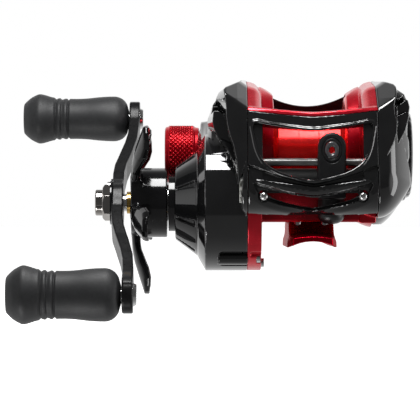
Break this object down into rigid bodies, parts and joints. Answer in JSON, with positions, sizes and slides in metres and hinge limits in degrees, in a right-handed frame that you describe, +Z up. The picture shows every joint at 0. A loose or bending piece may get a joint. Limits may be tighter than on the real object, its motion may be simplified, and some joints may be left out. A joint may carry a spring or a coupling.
{
  "type": "baitcasting reel",
  "caption": "Low-profile baitcasting fishing reel, right-hand crank, with level-wind line guide, star drag, thumb-bar clutch, spool tension cap and a saddle foot for a rod's reel seat.",
  "frame": {"origin": "middle of the foot's underside, on the crown of the saddle that sits on the rod", "axes": "+X along the spool axis from the handle towards the palm side, +Y back towards the angler along the rod, +Z up from the rod to the spool"},
  "size_m": [0.1194, 0.0894, 0.072],
  "materials": {
    "red_anodised": "bright red anodised aluminium",
    "gloss_black": "piano-black moulded plastic",
    "black_metal": "gloss black anodised aluminium",
    "satin_black": "satin black moulded plastic",
    "knob_rubber": "dark grey moulded soft-touch rubber",
    "steel": "turned stainless steel",
    "chrome": "bright plated steel",
    "brass": "machined brass",
    "nylon": "white acetal",
    "carbon": "carbon fibre drag material",
    "ceramic": "dark polished ceramic"
  },
  "bodies": {
    "root": {"frame": "red_anodised", "reel_foot": "red_anodised", "foot_screws": "steel", "front_hood": "gloss_black", "hood_screws": "chrome", "handle_side_cover": "gloss_black", "palm_side_cover": "gloss_black", "cover_screws": "chrome", "guide_rail": "steel", "worm_guard": "black_metal", "worm_bushes": "nylon", "spool_bearings": "steel", "main_shaft_bearing": "steel", "one_way_bearing": "steel", "crank_bearing": "steel", "bearing_retainer": "black_metal", "yoke_springs": "steel"},
    "crank": {"drive_shaft": "steel", "levelwind_cog": "nylon", "ratchet": "steel", "drive_gear": "brass", "drag_washers": "carbon", "key_washer": "steel", "clutch_sleeve": "steel", "spring_washers": "steel", "handle_arm": "black_metal", "handle_nut": "chrome", "nut_retainer": "black_metal", "retainer_screw": "chrome", "knob_spindles": "steel"},
    "star": {"star_drag": "black_metal", "star_nut": "brass"},
    "knob_low": {"lower_knob": "knob_rubber", "lower_knob_bushes": "brass", "lower_knob_cap": "gloss_black"},
    "knob_high": {"upper_knob": "knob_rubber", "upper_knob_bushes": "brass", "upper_knob_cap": "gloss_black"},
    "spool_body": {"spool": "red_anodised", "spool_shaft": "steel", "shaft_pin": "steel"},
    "pinion": {"pinion_gear": "brass"},
    "yoke": {"clutch_yoke": "steel"},
    "cam": {"clutch_cam": "steel"},
    "thumb": {"thumb_bar": "satin_black", "clutch_plate": "steel"},
    "worm": {"worm_shaft": "steel", "worm_cog": "nylon"},
    "guide": {"line_guide": "satin_black", "guide_insert": "ceramic", "levelwind_pawl": "brass", "pawl_cap": "satin_black"},
    "dial": {"brake_dial": "gloss_black"},
    "magnets": {"magnet_carrier": "satin_black", "brake_magnets": "chrome"},
    "tension": {"tension_cap": "red_anodised", "tension_shims": "brass"}
  },
  "joints": [
    {"name": "handle_turn", "type": "hinge", "parent": "root", "child": "crank", "pos_m": [-0.04, -0.007, 0.0114], "axis": [1, 0, 0], "continuous": true},
    {"name": "spool_spin", "type": "hinge", "parent": "root", "child": "spool_body", "pos_m": [0, 0.006, 0.0262], "axis": [1, 0, 0], "continuous": true},
    {"name": "yoke_slide", "type": "slide", "parent": "root", "child": "yoke", "axis": [-1, 0, 0], "range_m": [0, 0.0022], "deforming": ["yoke_springs"]},
    {"name": "pinion_spin", "type": "hinge", "parent": "yoke", "child": "pinion", "pos_m": [-0.025, 0.006, 0.0262], "axis": [1, 0, 0], "continuous": true},
    {"name": "worm_spin", "type": "hinge", "parent": "root", "child": "worm", "pos_m": [0, -0.025, 0.0175], "axis": [1, 0, 0], "continuous": true},
    {"name": "line_guide_traverse", "type": "slide", "parent": "root", "child": "guide", "axis": [1, 0, 0], "range_m": [-0.0155, 0.0045]},
    {"name": "thumb_bar_press", "type": "slide", "parent": "root", "child": "thumb", "axis": [0, 0.5, -0.866], "range_m": [0, 0.004], "stiffness_N_per_m": 150, "springref_m": -0.002},
    {"name": "clutch_cam_turn", "type": "hinge", "parent": "root", "child": "cam", "pos_m": [-0.02, 0.006, 0.0262], "axis": [1, 0, 0], "range_deg": [-25.3, 0]},
    {"name": "brake_dial_turn", "type": "hinge", "parent": "root", "child": "dial", "pos_m": [0.029, 0.006, 0.0262], "axis": [1, 0, 0], "range_deg": [-135, 135]},
    {"name": "magnet_slide", "type": "slide", "parent": "root", "child": "magnets", "axis": [1, 0, 0], "range_m": [-0.0009, 0.0009]},
    {"name": "tension_cap_turn", "type": "hinge", "parent": "root", "child": "tension", "pos_m": [-0.038, 0.006, 0.0262], "axis": [1, 0, 0], "range_deg": [-180, 180]},
    {"name": "star_turn", "type": "hinge", "parent": "crank", "child": "star", "pos_m": [-0.05, -0.007, 0.0114], "axis": [1, 0, 0], "range_deg": [-180, 180]},
    {"name": "lower_knob_spin", "type": "hinge", "parent": "crank", "child": "knob_low", "pos_m": [-0.07, -0.04341, -0.01505], "axis": [1, 0, 0], "continuous": true},
    {"name": "upper_knob_spin", "type": "hinge", "parent": "crank", "child": "knob_high", "pos_m": [-0.07, 0.02941, 0.03785], "axis": [1, 0, 0], "continuous": true}
  ],
  "couplings": [
    {"joint": "spool_spin", "follows": "handle_turn", "ratio": -7.2},
    {"joint": "pinion_spin", "follows": "handle_turn", "ratio": -7.2},
    {"joint": "worm_spin", "follows": "handle_turn", "ratio": -2},
    {"joint": "yoke_slide", "follows": "thumb_bar_press", "ratio": 0.55},
    {"joint": "clutch_cam_turn", "follows": "thumb_bar_press", "rad_per_m": -109.08},
    {"joint": "brake_dial_turn", "follows": "magnet_slide", "rad_per_m": 2500}
  ]
}
